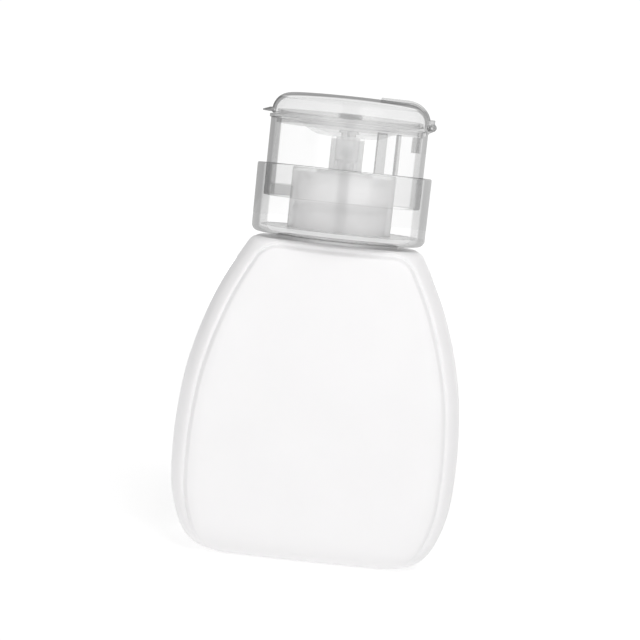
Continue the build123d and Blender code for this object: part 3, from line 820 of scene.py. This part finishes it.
def make_lamp(name, place, target, size, power):
    """A round soft lamp. What gloss shows of the room comes from the world instead."""
    light = bpy.data.lights.new(name, "AREA")
    light.shape = "DISK"
    light.size = size
    light.energy = power
    lamp = bpy.data.objects.new(name, light)
    bpy.context.scene.collection.objects.link(lamp)
    lamp.location = place
    lamp.visible_glossy = False
    lamp.rotation_euler = (Vector(target) - Vector(place)).to_track_quat("-Z", "Y").to_euler()


def make_world():
    """White surroundings to the camera and through clear plastic, soft fill light, and in gloss a
    room that is darker on the left, with a tall softbox on either side of the camera."""
    world = bpy.data.worlds.new("studio")
    bpy.context.scene.world = world
    f = Finish(world, "ShaderNodeOutputWorld", "Generated")
    x, y = f.position()[:2]
    across = x.size()
    softbox = across.rise(*SOFTBOX_START) * (1 - across.rise(*SOFTBOX_END))
    softbox = softbox * (1 - y.rise(*SOFTBOX_FRONT))
    room = GLOSS_DARK + (1 - GLOSS_DARK) * x.rise(*ROOM_STEP)
    sides = SOFTBOX_LEFT_SHARE + (1 - SOFTBOX_LEFT_SHARE) * x.rise(*SOFTBOX_SIDES)
    room = room + GLOSS_SOFTBOX * softbox * sides
    plain = f.ray("Camera").larger(f.ray("Transmission"))
    level = FILL_STRENGTH + (room - FILL_STRENGTH) * f.ray("Glossy")
    level = level + (WHITE_LEVEL - level) * plain
    f.finish(f.node("ShaderNodeBackground", {}, {"Color": grey(1.0), "Strength": level}))


def make_floor():
    """A plain pale floor that keeps the flask's soft shadow and is otherwise white. Its glow to the
    eye differs from the glow that lights the flask from below."""
    half = FLOOR_HALF_WIDTH
    mesh = bpy.data.meshes.new("floor")
    corners = [(-half, -half, 0), (half, -half, 0), (half, half, 0), (-half, half, 0)]
    mesh.from_pydata(corners, [], [(0, 1, 2, 3)])
    floor = bpy.data.objects.new("floor", mesh)
    bpy.context.scene.collection.objects.link(floor)
    floor.location.z = -FLOOR_DROP
    f = finish_named("pale_floor")
    seen = f.ray("Camera").larger(f.ray("Glossy")).larger(f.ray("Transmission"))
    matt = f.node("ShaderNodeBsdfDiffuse", {}, {"Color": grey(FLOOR_GREY)})
    bounce = f.node("ShaderNodeEmission", {}, {"Color": grey(1.0), "Strength": FLOOR_BOUNCE})
    far = f.position()[3].rise(*FLOOR_FAR)
    colour = f.mix(far, grey(FLOOR_GLOW), grey(FLOOR_FAR_GLOW))
    direct = f.node("ShaderNodeEmission", {}, {"Color": colour, "Strength": 1.0})
    glow = f.blend(seen, bounce, direct)
    both = f.node("ShaderNodeAddShader", {}, {0: matt.outputs[0], 1: glow.outputs[0]})
    floor.data.materials.append(f.finish(both))


make_camera()
make_world()
make_floor()
for lamp_values in LAMPS:
    make_lamp(*lamp_values)

white = bottle_finish()
collar_clear = clear_finish("collar_plastic", collar_zones, density=8.0, shade=1.0)
skirt_clear = clear_finish("skirt_plastic", skirt_zones, density=8.0)
lid_clear = clear_finish("lid_plastic", lid_zones, density=8.0, tint=0.96)
dish_clear = clear_finish("dish_plastic", dish_zones, density=12.0, roughness=0.10)
seal_plastic = clear_finish("seal_plastic", seal_zones, density=8.0, roughness=0.12)
frosted = frosted_finish("closure_plastic", tint=0.99, roughness=0.42, clear=0.45, through=0.65,
                         edge=0.22, front_stripe=0.13)
milky = frosted_finish("pump_plastic", tint=0.91, roughness=0.5, clear=0.10)
milky_tube = frosted_finish("tube_plastic", tint=0.88, roughness=0.35, clear=0.35)
stem_plastic = frosted_finish("stem_plastic", tint=0.99, roughness=0.4, clear=0.70, through=0.6,
                              edge=0.08)
nozzle_plastic = frosted_finish("nozzle_plastic", tint=0.75, roughness=0.35, clear=0.80)
pin_plastic = frosted_finish("pin_plastic", tint=0.70, roughness=0.3, clear=0.6)
soft_white = plain_finish("piston_plastic", tint=0.86, roughness=0.45)
gasket_rubber = plain_finish("gasket", tint=0.86, roughness=0.6)
steel = steel_finish()
glass = glass_finish()

FINISHES = {
    "bottle": white, "collar": collar_clear, "skirt": skirt_clear, "lid": lid_clear,
    "dish": dish_clear, "closure": frosted, "lid_seal": seal_plastic, "hinge_pin": pin_plastic,
    "pump_housing": milky, "housing_cap": milky, "ball_cage": milky, "dip_tube": milky_tube,
    "stem": stem_plastic, "piston_rod": stem_plastic, "nozzle_insert": nozzle_plastic,
    "piston": soft_white, "neck_gasket": gasket_rubber,
    "return_spring": steel, "inlet_ball": glass, "outlet_ball": glass,
}
for node_name, material in FINISHES.items():
    dress(NODES[node_name], material)

bottle = make_bottle_skin()
dress(bottle, white)
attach(bottle, "bottle")
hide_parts("bottle")

thread_low = NECK_TOP - THREAD_TOP_GAP - THREAD_TURNS * THREAD_PITCH
neck_thread = ridge("neck_thread", NECK_RADIUS, NECK_THREAD_HEIGHT, thread_low, THREAD_TURNS, 1)
dress(neck_thread, white)
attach(neck_thread, "bottle")

closure_thread = ridge("closure_thread", CLOSURE_BORE_RADIUS, CLOSURE_THREAD_HEIGHT,
                       thread_low - THREAD_PITCH / 2, THREAD_TURNS, -1)
dress(closure_thread, frosted)
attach(closure_thread, "closure")

spring = coil_spring()
dress(spring, steel)
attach(spring, "pump")
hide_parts("return_spring")
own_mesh(spring)

scene = bpy.context.scene
scene.view_settings.view_transform = "Standard"
scene.cycles.max_bounces = MAX_BOUNCES
scene.cycles.transmission_bounces = MAX_BOUNCES
scene.cycles.transparent_max_bounces = MAX_BOUNCES
